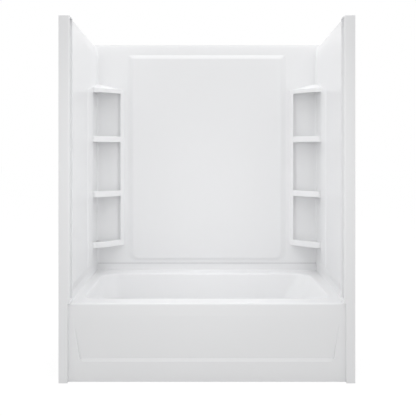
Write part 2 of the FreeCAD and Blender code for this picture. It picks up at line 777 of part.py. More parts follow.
def shelf_plan(m, name, low, height):
    """A prism on the corner plan of a shelf, with its bowed front."""
    return m.prism(
        name, "XY_Plane", low,
        [("-end_face", "shelf_out"), ("post_rise - end_face", "shelf_out"),
         ("shelf_in", "shelf_in_front"), ("shelf_in", "back_face"), ("-end_face", "back_face")],
        height, [(1, "shelf_front_radius", "out")])


def shelf_hollow(m, name, low, height, inset, wall):
    """A prism inside a shelf's plan: inset behind its front, a wall clear of the two room walls."""
    slope_x, slope_y = (f"{share} * {inset}" for share in front_slope_shares)
    return m.prism(
        name, "XY_Plane", low,
        [(f"{wall} - end_face", f"shelf_out + {slope_y} + ({wall}) / 2"),
         (f"shelf_in - {slope_x}", f"shelf_in_front + {slope_y}"),
         (f"shelf_in - {slope_x}", f"back_face - ({wall})"),
         (f"{wall} - end_face", f"back_face - ({wall})")],
        height, [(0, "shelf_front_radius", "out")])


def shelf(m, name, top):
    """One shelf: a tray behind a tall rounded lip, hollow underneath."""
    low = f"{top} - lip_height"
    blank = shelf_plan(m, name + "_blank", low, "lip_height")
    high, foot, slack = m.number(top), m.number(low), m.number("edge_slack")
    m.round_edges(blank, name + "_lip_round", blank.Tip, "lip_round", lambda box, edge: (
        box.XLength > box.ZLength + slack and box.YLength > m.number("shelf_stand_off") + slack
        and box.ZLength < slack and (close_to(box.ZMin, high) or close_to(box.ZMin, foot))))
    tray = shelf_hollow(m, name + "_tray", f"{top} - tray_depth", "tray_depth + overrun",
                        "lip_wall", "-overrun")
    under = shelf_hollow(m, name + "_under", f"{low} - overrun",
                         "lip_height - tray_depth - tray_wall + overrun", "lip_under_wall", "tray_wall")
    return m.cut(name, blank, [tray, under])


def shelf_cap_top(m):
    """The sloped roof above the highest niche."""
    body = m.body("cap_roof")
    wide = m.outline(
        body, "cap_roof_foot", "XY_Plane", "shelf_cap",
        [("-end_face", "shelf_out"), ("post_rise - end_face", "shelf_out"),
         ("shelf_in", "shelf_in_front"), ("shelf_in", "back_face"), ("-end_face", "back_face")],
        [(1, "shelf_front_radius", "out")])
    peak = m.outline(
        body, "cap_roof_peak", "XY_Plane", "cap_peak",
        [("-end_face", "back_face - cap_crown"), ("post_rise / 2 - end_face", "back_face - cap_crown"),
         ("cap_crown - end_face", "back_face - post_rise / 2"),
         ("cap_crown - end_face", "back_face"), ("-end_face", "back_face")],
        [(1, "cap_crown * 3", "out")])
    m.loft(body, "cap_roof_loft", wide, peak)
    return body


def shelf_tower(m, cove):
    """The left corner tower: cap, three shelves and the two posts that frame the niches."""
    foot = "(border_top + border_bevel)"
    slab = shelf_plan(m, "cap_slab", "cap_under", "cap_lip")
    hollow = shelf_hollow(m, "cap_hollow", "cap_under - overrun", "cap_lip - tray_wall + overrun",
                          "lip_under_wall", "tray_wall")
    side_post = m.prism(
        "side_post", "XY_Plane", foot,
        [("-end_face", "post_front"), ("post_rise - end_face", "post_front + post_rise * 2"),
         ("post_rise - end_face", "shelf_out + overrun"), ("-end_face", "shelf_out + overrun")],
        f"shelf_cap - {foot}")
    post_slope = m.prism(
        "post_slope", "YZ_Plane", "-end_face - overrun",
        [("post_front - overrun", "shelf_cap - cap_lip"), ("shelf_out", "shelf_cap"),
         ("shelf_out", "shelf_cap + overrun"), ("post_front - overrun", "shelf_cap + overrun")],
        "post_rise + overrun * 2")
    pieces = [
        m.cut("cap", slab, [hollow]),
        shelf_cap_top(m),
        shelf(m, "shelf_three", "shelf_high"),
        shelf(m, "shelf_two", "shelf_mid"),
        shelf(m, "shelf_one", "shelf_low"),
        m.cut("side_post_sloped", side_post, [post_slope]),
        m.prism("back_post", "XY_Plane", "shelf_low - lip_height",
                [("shelf_in", "shelf_in_front"), ("post_back", "back_face"), ("shelf_in", "back_face")],
                "shelf_cap - shelf_low + lip_height"),
    ]
    return m.cut("left_shelf_tower", m.fuse("tower_blank", pieces), [cove])


def strainer(m):
    """The drain strainer: a flanged threaded barrel with a cross and a hub."""
    ring = m.turned(
        "strainer_ring",
        [("strainer_bore", "strainer_foot"), ("strainer_barrel", "strainer_foot"),
         ("strainer_barrel", "drain_seat"), ("strainer_rim", "drain_seat"),
         ("strainer_rim", "drain_seat + drain_seat_depth / 3"),
         ("strainer_rim - drain_seat_depth", "basin_floor"), ("strainer_mouth", "basin_floor"),
         ("strainer_bore", "basin_floor - drain_seat_depth * 2")],
        ("drain_place", "basin_axis", "0"))
    reach = "(strainer_bore + strainer_barrel) / 2"
    bar = "strainer_bar / 2"
    pieces = [
        ring,
        m.box("cross_bar_x", (f"drain_place - {reach}", f"drain_place + {reach}"),
              (f"basin_axis - {bar}", f"basin_axis + {bar}"), ("strainer_foot", "bar_top")),
        m.box("cross_bar_y", (f"drain_place - {bar}", f"drain_place + {bar}"),
              (f"basin_axis - {reach}", f"basin_axis + {reach}"), ("strainer_foot", "bar_top")),
        m.rod("cross_hub", "strainer_hub", ("strainer_foot", "bar_top"), ("drain_place", "basin_axis")),
    ]
    bore = m.rod("hub_bore", "post_radius + stopper_play",
                 ("strainer_foot - overrun", "bar_top + overrun"), ("drain_place", "basin_axis"))
    return m.cut("drain_strainer", m.fuse("strainer_blank", pieces), [bore])


def stopper_post(m):
    """The fixed post that the stopper rides on, with a collar that seats on the cross."""
    return m.turned(
        "stopper_post",
        [("0", "strainer_foot"), ("post_radius", "strainer_foot"), ("post_radius", "bar_top"),
         ("post_collar", "bar_top"), ("post_collar", "bar_top + post_collar_height"),
         ("post_radius", "bar_top + post_collar_height"), ("post_radius", "bar_top + post_height"),
         ("0", "bar_top + post_height")],
        ("drain_place", "basin_axis", "0"))


def stopper_cap(m):
    """The toe-touch stopper: a domed cap with a sleeve that slides on the post."""
    foot = "basin_floor + stopper_gap"
    return m.turned(
        "stopper_cap",
        [("post_radius + stopper_play", f"{foot} - stopper_stem_length"),
         ("stopper_stem", f"{foot} - stopper_stem_length"), ("stopper_stem", foot),
         ("stopper_radius", foot), ("stopper_radius", f"{foot} + stopper_rise / 3"),
         ("stopper_radius * 0.8", f"{foot} + stopper_rise * 0.8"),
         ("stopper_radius * 0.4", f"{foot} + stopper_rise"), ("0", f"{foot} + stopper_rise"),
         ("0", f"{foot} + stopper_rise - stopper_roof"),
         ("post_radius + stopper_play", f"{foot} + stopper_rise - stopper_roof")],
        ("drain_place", "basin_axis", "0"))


def ring_up(m, name, inner, outer, low, high):
    """A flat ring round the drain's axis."""
    return m.cut(name,
                 m.rod(name + "_disc", outer, (low, high), ("drain_place", "basin_axis")),
                 [m.rod(name + "_bore", inner, (f"{low} - overrun", f"{high} + overrun"),
                        ("drain_place", "basin_axis"))])


def drain_shoe(m):
    """The elbow under the drain, with a socket for the pipe to the tee."""
    at, across = ("drain_place", "basin_axis"), ("basin_axis", "pipe_height")
    blank = m.fuse("shoe_blank", [
        m.rod("shoe_rim", "gasket_radius", ("shoe_top - shoe_flange", "shoe_top"), at),
        m.rod("shoe_barrel", "shoe_body", ("shoe_foot", "shoe_top"), at),
        m.rod("shoe_arm", "socket_radius", ("shoe_mouth", "drain_place"), across, "X"),
    ])
    return m.cut("drain_shoe", blank, [
        m.rod("shoe_bore", "shoe_body - shoe_wall - drain_seat_depth / 2",
              ("shoe_foot + shoe_wall", "shoe_top + overrun"), at),
        m.rod("shoe_arm_bore", "pipe_bore", ("shoe_mouth", "drain_place"), across, "X"),
        m.rod("shoe_socket", "socket_bore",
              ("shoe_mouth - overrun", "shoe_mouth + socket_depth"), across, "X"),
    ])


def pipe(m, name, span, centre, axis):
    """A straight pipe with its full bore."""
    return m.cut(name, m.rod(name + "_outside", "pipe_radius", span, centre, axis),
                 [m.rod(name + "_inside", "pipe_bore",
                        (f"{span[0]} - overrun", f"{span[1]} + overrun"), centre, axis)])


def outlet_pipe(m):
    """The adapter that leaves the tee: a slip end that steps up to a spigot for the house drain."""
    across = ("basin_axis", "pipe_height")
    shoulder = "tee_left + nut_cover - washer_wall - nut_length - outlet_gap"
    blank = m.fuse("outlet_blank", [
        m.rod("outlet_slip_end", "pipe_radius", (shoulder, "tee_left + socket_depth"), across, "X"),
        m.rod("outlet_spigot", "outlet_radius", ("-half_width", shoulder), across, "X"),
    ])
    return m.cut("outlet_pipe", blank, [
        m.rod("outlet_slip_bore", "pipe_bore",
              ("-half_width - overrun", "tee_left + socket_depth + overrun"), across, "X"),
        m.rod("outlet_spigot_bore", "outlet_radius - outlet_wall",
              ("-half_width - overrun", f"{shoulder} - outlet_wall"), across, "X"),
    ])


def waste_tee(m):
    """The tee that joins the drain, the overflow pipe and the outlet."""
    across, up = ("basin_axis", "pipe_height"), ("tee_place", "basin_axis")
    blank = m.fuse("tee_blank", [
        m.rod("tee_run", "socket_radius", ("tee_left", "tee_right"), across, "X"),
        m.rod("tee_branch", "socket_radius", ("pipe_height", "tee_top"), up),
    ])
    return m.cut("waste_tee", blank, [
        m.rod("tee_bore", "pipe_bore", ("tee_left", "tee_right"), across, "X"),
        m.rod("tee_left_socket", "socket_bore",
              ("tee_left - overrun", "tee_left + socket_depth"), across, "X"),
        m.rod("tee_right_socket", "socket_bore",
              ("tee_right - socket_depth", "tee_right + overrun"), across, "X"),
        m.rod("tee_branch_bore", "pipe_bore", ("pipe_height", "tee_top"), up),
        m.rod("tee_top_socket", "socket_bore", ("tee_top - socket_depth", "tee_top + overrun"), up),
    ])


def tilted_rod(m, name, radius, length, start, side):
    """A cylinder square to the basin's drain-end wall, on the line of one plate screw."""
    item = m.doc.addObject("Part::Cylinder", name)
    m.bind(item, Radius=radius, Height=length)
    item.Placement.Rotation = FreeCAD.Rotation(FreeCAD.Vector(0, 1, 0), 90)
    item.setExpression("Placement.Rotation.Angle", "90 deg - " + m.link("lean_angle") + " * 1 deg")
    return m.place(
        item,
        f"overflow_wall + {side} * screw_spread * lean_sine + ({start}) * lean_cosine",
        "basin_axis",
        f"overflow_height - {side} * screw_spread * lean_cosine + ({start}) * lean_sine")


def overflow_elbow(m):
    """The head of the overflow: a flange on the basin wall, an elbow and a bar for the screws."""
    along, up = ("basin_axis", "overflow_height"), ("tee_place", "basin_axis")
    mouth = "(overflow_gasket_inner - shoe_wall * 2)"
    shell = m.cut("elbow_shell", m.fuse("elbow_blank", [
        m.rod("elbow_drop_arm", "socket_radius", ("elbow_foot", "overflow_height + socket_radius"), up),
        m.rod("elbow_arm", "overflow_gasket_inner - shoe_wall", ("tee_place", "elbow_face"), along, "X"),
        m.rod("elbow_rim", "overflow_seat", ("elbow_face - elbow_flange", "elbow_face"), along, "X"),
    ]), [
        m.rod("elbow_mouth", mouth, ("tee_place + shoe_wall", "elbow_face + overrun"), along, "X"),
        m.rod("elbow_bore", "pipe_bore", ("elbow_foot", "overflow_height"), up),
        m.rod("elbow_socket", "socket_bore", ("elbow_foot - overrun", "elbow_foot + socket_depth"), up),
    ])
    bar = m.box("screw_bar", ("elbow_face - elbow_flange - elbow_bar", "elbow_face - elbow_flange"),
                ("basin_axis - elbow_bar", "basin_axis + elbow_bar"),
                (f"overflow_height - {mouth} - shoe_wall / 2", f"overflow_height + {mouth} + shoe_wall / 2"))
    holes = [tilted_rod(m, f"bar_hole_{spot}", "screw_radius + screw_play / 2", "screw_length * 2",
                        "-screw_length * 2", side)
             for spot, side in (("low", "1"), ("high", "-1"))]
    return m.cut("overflow_elbow", m.fuse("elbow_with_bar", [shell, bar]), holes)


def overflow_gasket(m, basin_outside):
    """The wedge that turns the sloped basin wall to the upright elbow."""
    along = ("basin_axis", "overflow_height")
    ring = m.rod("gasket_disc", "overflow_seat", ("elbow_face", "overflow_wall"), along, "X")
    return m.cut("overflow_gasket", ring, [
        basin_outside,
        m.rod("gasket_bore", "overflow_gasket_inner", ("elbow_face - overrun", "overflow_wall + overrun"),
              along, "X")])


def overflow_plate(m):
    """The dished cover plate on the drain-end wall, with two screw holes and a water slot."""
    dish = m.turned(
        "plate_dish",
        [("0", "plate_wall - plate_skin"), ("plate_radius - plate_rim", "plate_wall - plate_skin"),
         ("plate_radius - plate_rim", "0"), ("plate_radius", "0"),
         ("plate_radius", "plate_wall - plate_round"), ("plate_radius - plate_round", "plate_wall"),
         ("0", "plate_wall")],
        ("0", "0", "0"))
    dish.Placement.Rotation = FreeCAD.Rotation(FreeCAD.Vector(0, 1, 0), 90)
    dish.setExpression("Placement.Rotation.Angle", "90 deg - " + m.link("lean_angle") + " * 1 deg")
    m.place(dish, "overflow_wall", "basin_axis", "overflow_height")
    holes = [tilted_rod(m, f"plate_hole_{spot}", "screw_radius + screw_play / 4", "plate_wall * 3",
                        "-plate_wall", side)
             for spot, side in (("low", "1"), ("high", "-1"))]
    slot = m.box("plate_slot", ("overflow_wall - plate_radius", "overflow_wall + plate_radius"),
                 ("basin_axis - plate_slot * 2", "basin_axis + plate_slot * 2"),
                 ("overflow_height - plate_radius - plate_slot",
                  "overflow_height - plate_radius + plate_slot"))
    return m.cut("overflow_plate", dish, holes + [slot])


def overflow_screws(m):
    """The two screws of the overflow plate."""
    made = []
    for spot, side in (("low", "1"), ("high", "-1")):
        shank = tilted_rod(m, f"screw_shank_{spot}", "screw_radius", "screw_length",
                           "plate_wall - screw_length", side)
        head = tilted_rod(m, f"screw_head_{spot}", "screw_head", "screw_head_height", "plate_wall", side)
        made.append(m.fuse(f"plate_screw_{spot}", [shank, head]))
    return m.group("overflow_screws", made)


SLIP_JOINTS = (
    ("tee_right_end", "tee_right", 1, "X"),
    ("tee_left_end", "tee_left", -1, "X"),
    ("shoe_end", "shoe_mouth", -1, "X"),
    ("tee_top_end", "tee_top", 1, "Z"),
    ("elbow_end", "elbow_foot", -1, "Z"),
)


def slip_nut(m, name, mouth, way, axis):
    """A six-sided slip nut over the end of a socket."""
    centre = ("basin_axis", "pipe_height") if axis == "X" else ("tee_place", "basin_axis")
    back = "nut_cover - washer_wall"
    front = "nut_length - nut_cover + washer_wall"
    span = ((f"{mouth} - ({back})", f"{mouth} + {front}") if way > 0
            else (f"{mouth} - ({front})", f"{mouth} + {back}"))
    hexagon = m.doc.addObject("Part::Prism", name + "_hexagon")
    hexagon.Polygon = 6
    m.bind(hexagon, Circumradius="nut_radius", Height="nut_length")
    if axis == "X":
        flat_up = FreeCAD.Rotation(FreeCAD.Vector(1, 0, 0), 30)
        hexagon.Placement.Rotation = flat_up * FreeCAD.Rotation(FreeCAD.Vector(0, 1, 0), 90)
        m.place(hexagon, span[0], *centre)
    else:
        m.place(hexagon, *centre, span[0])
    wide = ((f"{mouth} - nut_cover * 2", f"{mouth} + washer_wall") if way > 0
            else (f"{mouth} - washer_wall", f"{mouth} + nut_cover * 2"))
    return m.cut(name, hexagon, [
        m.rod(name + "_bore", "socket_bore", (f"{span[0]} - overrun", f"{span[1]} + overrun"), centre, axis),
        m.rod(name + "_counterbore", "socket_radius + nut_play", wide, centre, axis)])


def slip_washer(m, name, mouth, way, axis):
    """The rubber ring that a slip nut presses on the pipe."""
    centre = ("basin_axis", "pipe_height") if axis == "X" else ("tee_place", "basin_axis")
    span = (mouth, f"{mouth} + washer_wall") if way > 0 else (f"{mouth} - washer_wall", mouth)
    return m.cut(name, m.rod(name + "_disc", "socket_radius - nut_play", span, centre, axis), [
        m.rod(name + "_bore", "pipe_radius", (f"{span[0]} - overrun", f"{span[1]} + overrun"), centre, axis)])


def corner_clips(m):
    """Spring clips that hold the left end wall's return to the back wall's edge."""
    made = []
    for step, share in enumerate(clip_shares, start=1):
        low = f"wall_foot + (crown_start - wall_foot) * {share}"
        made.append(m.prism(
            f"left_clip_{step}", "XY_Plane", low,
            [("-back_edge - clip_wall", "back_face - skin - clip_wall"),
             ("clip_grip - clip_wall - back_edge", "back_face - skin - clip_wall"),
             ("clip_grip - clip_wall - back_edge", "back_face - skin"),
             ("-back_edge", "back_face - skin"), ("-back_edge", "back_face + skin"),
             ("clip_grip - clip_wall - back_edge", "back_face + skin"),
             ("clip_grip - clip_wall - back_edge", "back_face + skin + clip_wall"),
             ("-back_edge - clip_wall", "back_face + skin + clip_wall")],
            "clip_height"))
    return m.group("left_corner_clips", made)


def seals(m):
    """Foam strips between the upstand and the feet of the three walls."""
    lift = ("upstand_top", "wall_foot")
    left = m.prism(
        "left_end_seal", "XY_Plane", "upstand_top",
        [("-stud_line_end", "column_back + upstand_recess"),
         ("-upstand_front", "column_back + upstand_recess"), ("-upstand_end", "post_front"),
         ("-upstand_end", "back_face"), ("-stud_line_end", "back_face")],
        "seal_height")
    return [
        m.box("back_wall_seal", ("-back_edge", "back_edge"),
              ("upstand_back + upstand_recess / 4", "stud_line_back"), lift),
        left,
        m.mirror("right_end_seal", left),
    ]


def write_parts(m, nodes):
    """Check every object, then write one file for each sub-part."""
    m.doc.recompute()
    for item in m.doc.Objects:
        bad = [state for state in item.State if state in ("Invalid", "Error")]
        if bad:
            raise RuntimeError(f"{item.Name} failed: {item.State}")
    for node in nodes:
        shape = node.Shape
        if shape.isNull() or not shape.isValid() or not shape.Solids:
            raise RuntimeError(f"{node.Label} has no valid solid")
    os.makedirs("parts", exist_ok=True)
    for node in nodes:
        node.Shape.exportStep(f"parts/{node.Label}.step")
        print(f"{node.Label}: {len(node.Shape.Solids)} solid(s), {node.Shape.Volume / 1000:.1f} cm3")


def main():
    """Build the bath, its walls and its waste set, and write them out."""
    m = Model()
    cove = cove_strip(m)
    cove_right = m.mirror("cove_right", cove)
    end_wall = end_wall_panel(m, cove)
    tower = shelf_tower(m, cove)
    clips = corner_clips(m)
    shell = tub_shell(m)
    outside = [item for item in m.doc.Objects if item.Name == "basin_outside"][0]
    across = ("basin_axis", "pipe_height")
    up = ("tee_place", "basin_axis")
    nodes = [
        shell,
        back_wall_panel(m, cove, cove_right),
        end_wall, m.mirror("right_end_wall_panel", end_wall),
        tower, m.mirror("right_shelf_tower", tower),
        clips, m.mirror("right_corner_clips", clips),
        m.box("support_pad", ("-pad_half", "pad_half"),
              ("basin_axis - pad_width / 2", "basin_axis + pad_width / 2"), ("0", "basin_under")),
        strainer(m), stopper_post(m), stopper_cap(m),
        ring_up(m, "stopper_seal", "stopper_stem", "stopper_seal_radius",
                "basin_floor + stopper_gap - stopper_seal_wall", "basin_floor + stopper_gap"),
        ring_up(m, "drain_gasket", "drain_hole", "gasket_radius", "shoe_top", "boss_under"),
        drain_shoe(m),
        pipe(m, "drain_pipe", ("tee_right - socket_depth", "shoe_mouth + socket_depth"), across, "X"),
        waste_tee(m),
        outlet_pipe(m),
        pipe(m, "overflow_pipe", ("tee_top - socket_depth", "elbow_foot + socket_depth"), up, "Z"),
        overflow_elbow(m),
        overflow_gasket(m, outside),
        overflow_plate(m),
        overflow_screws(m),
        m.group("slip_nuts", [slip_nut(m, name + "_nut", *rest) for name, *rest in SLIP_JOINTS]),
        m.group("slip_washers", [slip_washer(m, name + "_washer", *rest) for name, *rest in SLIP_JOINTS]),
    ] + seals(m)
    write_parts(m, nodes)


main()
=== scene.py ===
"""A white alcove bath with its moulded wall surround, dressed, lit and framed for a studio picture."""

import json
import logging
import math
from dataclasses import dataclass
from enum import Enum

import bmesh
import bpy
from mathutils import Matrix, Vector


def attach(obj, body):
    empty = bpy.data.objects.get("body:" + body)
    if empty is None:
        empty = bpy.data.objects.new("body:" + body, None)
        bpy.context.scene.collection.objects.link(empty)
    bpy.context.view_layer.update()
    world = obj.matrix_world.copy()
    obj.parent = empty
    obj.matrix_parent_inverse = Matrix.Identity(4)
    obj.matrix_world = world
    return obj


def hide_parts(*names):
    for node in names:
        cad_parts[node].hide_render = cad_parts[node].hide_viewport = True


LOG = logging.getLogger("bath_scene")

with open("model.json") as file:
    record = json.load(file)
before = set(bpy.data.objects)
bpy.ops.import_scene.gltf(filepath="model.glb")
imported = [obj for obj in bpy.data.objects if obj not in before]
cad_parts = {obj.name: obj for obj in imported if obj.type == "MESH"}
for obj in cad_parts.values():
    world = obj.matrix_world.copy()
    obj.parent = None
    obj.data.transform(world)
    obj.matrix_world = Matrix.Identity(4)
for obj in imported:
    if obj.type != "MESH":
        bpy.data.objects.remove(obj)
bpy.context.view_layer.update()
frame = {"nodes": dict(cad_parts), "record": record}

Colour = tuple[float, float, float]
Place = tuple[float, float, float]
Span = tuple[float, float]

SIDES = (("left", -1.0), ("right", 1.0))
SKINNED = ("_wall_panel", "_shelf_tower")
NOISE_SPAN = (0.3, 0.7)
WHITE_LIGHT = (1.0, 1.0, 1.0, 1.0)


def new_piece(name: str, mesh: bpy.types.Mesh) -> bpy.types.Object:
    """Put a mesh into the scene as an object of its own.

    Args:
        name: the object's name.
        mesh: its mesh.

    Returns:
        The new object.
    """
    piece = bpy.data.objects.new(name, mesh)
    bpy.context.scene.collection.objects.link(piece)
    return piece


def settled(name: str, work: bmesh.types.BMesh) -> bpy.types.Mesh:
    """Turn a working mesh into a kept one.

    Args:
        name: the kept mesh's name.
        work: the working mesh, which ends here.

    Returns:
        The kept mesh.
    """
    mesh = bpy.data.meshes.new(name)
    work.to_mesh(mesh)
    work.free()
    return mesh


class Slot(Enum):
    """The record's material slots."""

    WHITE = "moulded_white"
    CHROME = "polished_chrome"
    BRASS = "brass"
    RUBBER = "black_rubber"
    PIPE = "black_pipe"
    FOAM = "white_foam"
    STEEL = "spring_steel"
    TAPE = "grey_foam_tape"


class NodeBoard:
    """The node tree of one material or world, with short ways to add to it."""

    def __init__(self, block: bpy.types.Material | bpy.types.World, output: str = "Material") -> None:
        """Empty the block's tree and give it an output.

        Args:
            block: the material or world.
            output: the kind of its output, Material or World.
        """
        self.block = block
        self.block.use_nodes = True
        self.tree = block.node_tree
        self.tree.nodes.clear()
        self.output = self.tree.nodes.new(f"ShaderNodeOutput{output}")

    def add(self, kind: str, values: dict | None = None, **settings: object) -> bpy.types.Node:
        """Add a node.

        Args:
            kind: the node's type name.
            values: values of its input sockets, by name or number.
            settings: the node's own settings.

        Returns:
            The new node.
        """
        node = self.tree.nodes.new(kind)
        for key, value in settings.items():
            setattr(node, key, value)
        for key, value in (values or {}).items():
            node.inputs[key].default_value = value
        return node

    def join(self, start: bpy.types.NodeSocket, end: bpy.types.NodeSocket) -> None:
        """Link one socket to another."""
        self.tree.links.new(start, end)

    def object_place(self) -> bpy.types.NodeSocket:
        """The point's own place on the object, in metres."""
        return self.add("ShaderNodeTexCoord").outputs["Object"]

    def noise(self, place: bpy.types.NodeSocket, scale: float,
              detail: float = 3.0) -> bpy.types.NodeSocket:
        """Smooth noise of one scale.

        Args:
            place: where the noise is read.
            scale: bumps per metre.
            detail: octaves.

        Returns:
            The noise's value, mostly within NOISE_SPAN.
        """
        node = self.add("ShaderNodeTexNoise", {"Scale": scale, "Detail": detail, "Roughness": 0.5})
        self.join(place, node.inputs["Vector"])
        return node.outputs["Fac"]

    def ramp(self, value: bpy.types.NodeSocket, low: float, high: float) -> bpy.types.NodeSocket:
        """The middle of a noise's range spread over two values."""
        node = self.add("ShaderNodeMapRange", {
            "From Min": NOISE_SPAN[0], "From Max": NOISE_SPAN[1], "To Min": low, "To Max": high})
        self.join(value, node.inputs["Value"])
        return node.outputs["Result"]

    def blend(self, value: bpy.types.NodeSocket, low: Colour, high: Colour) -> bpy.types.NodeSocket:
        """A colour between two, by a value from 0 to 1."""
        node = self.add("ShaderNodeMix", data_type="RGBA")
        colours = [socket for socket in node.inputs if socket.type == "RGBA"]
        colours[0].default_value, colours[1].default_value = (*low, 1.0), (*high, 1.0)
        self.join(value, node.inputs["Factor"])
        return next(socket for socket in node.outputs if socket.type == "RGBA")

    def bump(self, height: bpy.types.NodeSocket, depth: float) -> bpy.types.NodeSocket:
        """A bump of a depth in metres."""
        node = self.add("ShaderNodeBump", {"Strength": 1.0, "Distance": depth})
        self.join(height, node.inputs["Height"])
        return node.outputs["Normal"]


@dataclass(frozen=True)
class Finish:
    """A surface: two close colours, a range of roughness and a fine relief.

    The scales are in bumps per metre and the relief's depth is in metres.
    """

    name: str
    colour: Colour
    tint: Colour
    roughness: Span
    cloud_scale: float
    grain_scale: float
    grain_depth: float
    metallic: float = 0.0
    ior: float = 1.49
    coat: float = 0.0
    coat_roughness: float = 0.05
    grain_detail: float = 2.0

    def make(self) -> bpy.types.Material:
        """Build the material.

        Returns:
            The finished material.
        """
        board = NodeBoard(bpy.data.materials.new(self.name))
        shader = board.add("ShaderNodeBsdfPrincipled", {
            "Metallic": self.metallic, "IOR": self.ior, "Coat Weight": self.coat,
            "Coat Roughness": self.coat_roughness})
        place = board.object_place()
        cloud = board.noise(place, self.cloud_scale)
        grain = board.noise(place, self.grain_scale, self.grain_detail)
        colour = board.blend(board.ramp(cloud, 0.0, 1.0), self.colour, self.tint)
        board.join(colour, shader.inputs["Base Color"])
        board.join(board.ramp(cloud, *self.roughness), shader.inputs["Roughness"])
        board.join(board.bump(grain, self.grain_depth), shader.inputs["Normal"])
        board.join(shader.outputs["BSDF"], board.output.inputs["Surface"])
        return board.block


FINISHES = {
    Slot.WHITE: Finish(
        "moulded_white", (0.895, 0.898, 0.906), (0.892, 0.895, 0.903), (0.31, 0.36),
        cloud_scale=2.4, grain_scale=260.0, grain_depth=0.000012, coat=0.2, coat_roughness=0.12),
    Slot.CHROME: Finish(
        "polished_chrome", (0.78, 0.78, 0.80), (0.74, 0.74, 0.76), (0.05, 0.11),
        cloud_scale=60.0, grain_scale=900.0, grain_depth=0.000004, metallic=1.0),
    Slot.BRASS: Finish(
        "turned_brass", (0.72, 0.56, 0.28), (0.60, 0.44, 0.20), (0.22, 0.36),
        cloud_scale=90.0, grain_scale=1400.0, grain_depth=0.00001, metallic=1.0),
    Slot.RUBBER: Finish(
        "black_rubber", (0.030, 0.030, 0.030), (0.045, 0.044, 0.042), (0.62, 0.78),
        cloud_scale=40.0, grain_scale=1500.0, grain_depth=0.00004),
    Slot.PIPE: Finish(
        "black_pipe", (0.032, 0.032, 0.035), (0.045, 0.045, 0.048), (0.34, 0.48),
        cloud_scale=12.0, grain_scale=700.0, grain_depth=0.00003),
    Slot.FOAM: Finish(
        "bead_foam", (0.86, 0.86, 0.84), (0.78, 0.78, 0.76), (0.80, 0.92),
        cloud_scale=30.0, grain_scale=240.0, grain_depth=0.0004),
    Slot.STEEL: Finish(
        "spring_steel", (0.56, 0.57, 0.59), (0.47, 0.48, 0.50), (0.28, 0.42),
        cloud_scale=30.0, grain_scale=1200.0, grain_depth=0.00001, metallic=1.0),
    Slot.TAPE: Finish(
        "foam_tape", (0.33, 0.33, 0.34), (0.40, 0.40, 0.41), (0.85, 0.95),
        cloud_scale=40.0, grain_scale=900.0, grain_depth=0.0002),
}


@dataclass
class Dresser:
    """Gives pieces and CAD nodes their finishes."""

    materials: dict[Slot, bpy.types.Material]

    def dress(self, piece: bpy.types.Object, slot: Slot) -> None:
        """Put one finish on a whole piece.

        Args:
            piece: the piece or node.
            slot: the finish.
        """
        piece.data.materials.clear()
        piece.data.materials.append(self.materials[slot])


@dataclass
class Skin:
    """What a copy of a moulding gets: even faces, its finish and its place in the frame."""

    dresser: Dresser
    body: str = "bath"
    weld: float = 0.00001
    sharp_degrees: float = 28.0

    def start(self, node: str) -> bmesh.types.BMesh:
        """Begin a copy of a node.

        Args:
            node: the frame's node.

        Returns:
            Its mesh, welded, to work on.
        """
        work = bmesh.new()
        work.from_mesh(frame["nodes"][node].data)
        bmesh.ops.remove_doubles(work, verts=work.verts, dist=self.weld)
        return work

    def wear(self, node: str, work: bmesh.types.BMesh) -> None:
        """End the copy and let it stand for its node.

        Args:
            node: the frame's node.
            work: the worked mesh.
        """
        mesh = settled(f"{node}_skin", work)
        mesh.shade_smooth()
        mesh.set_sharp_from_angle(angle=math.radians(self.sharp_degrees))
        piece = new_piece(mesh.name, mesh)
        even = piece.modifiers.new("even_faces", "WEIGHTED_NORMAL")
        even.mode = "FACE_AREA_WITH_ANGLE"
        even.keep_sharp = True
        self.dresser.dress(piece, Slot.WHITE)
        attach(piece, self.body)
        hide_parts(node)
        LOG.info("skin of %s: %d faces", node, len(mesh.polygons))


@dataclass
class BackWall:
    """The back wall: a copy of its moulding whose raised field has rounded edges.

    The field's front lies in the first of field_planes and the wall in the second. Edges that bend by
    less than flat_degrees are flat.
    """

    skin: Skin
    node: str = "back_wall_panel"
    flat_degrees: float = 0.4
    field_planes: Span = (0.347, 0.357)
    field_half: float = 0.5185
    field_low: float = 0.4745
    field_high: float = 1.828
    field_round: float = 0.007
    segments: int = 4
    plane_slack: float = 0.0002

    def build(self) -> None:
        """Make the copy and let it stand for the node."""
        work = self.skin.start(self.node)
        flat = math.radians(self.flat_degrees)
        bmesh.ops.dissolve_limit(work, angle_limit=flat, verts=work.verts, edges=work.edges)
        outline = [edge for edge in work.edges if self.on_outline(edge, flat)]
        bmesh.ops.bevel(work, geom=outline, offset=self.field_round, offset_type="OFFSET",
                        segments=self.segments, profile=0.5, affect="EDGES", clamp_overlap=False)
        self.skin.wear(self.node, work)

    def on_outline(self, edge: bmesh.types.BMEdge, flat: float) -> bool:
        """Whether an edge lies where the field leaves the wall or where its front begins.

        Args:
            edge: an edge of the copy.
            flat: the least bend of an edge that isn't flat, in radians.

        Returns:
            True for an edge of one of the two outlines.
        """
        ends = [vertex.co for vertex in edge.verts]
        inside = all(abs(end.x) < self.field_half and self.field_low < end.z < self.field_high
                     for end in ends)
        level = any(all(abs(end.y - plane) < self.plane_slack for end in ends)
                    for plane in self.field_planes)
        return inside and level and edge.calc_face_angle(0.0) > flat


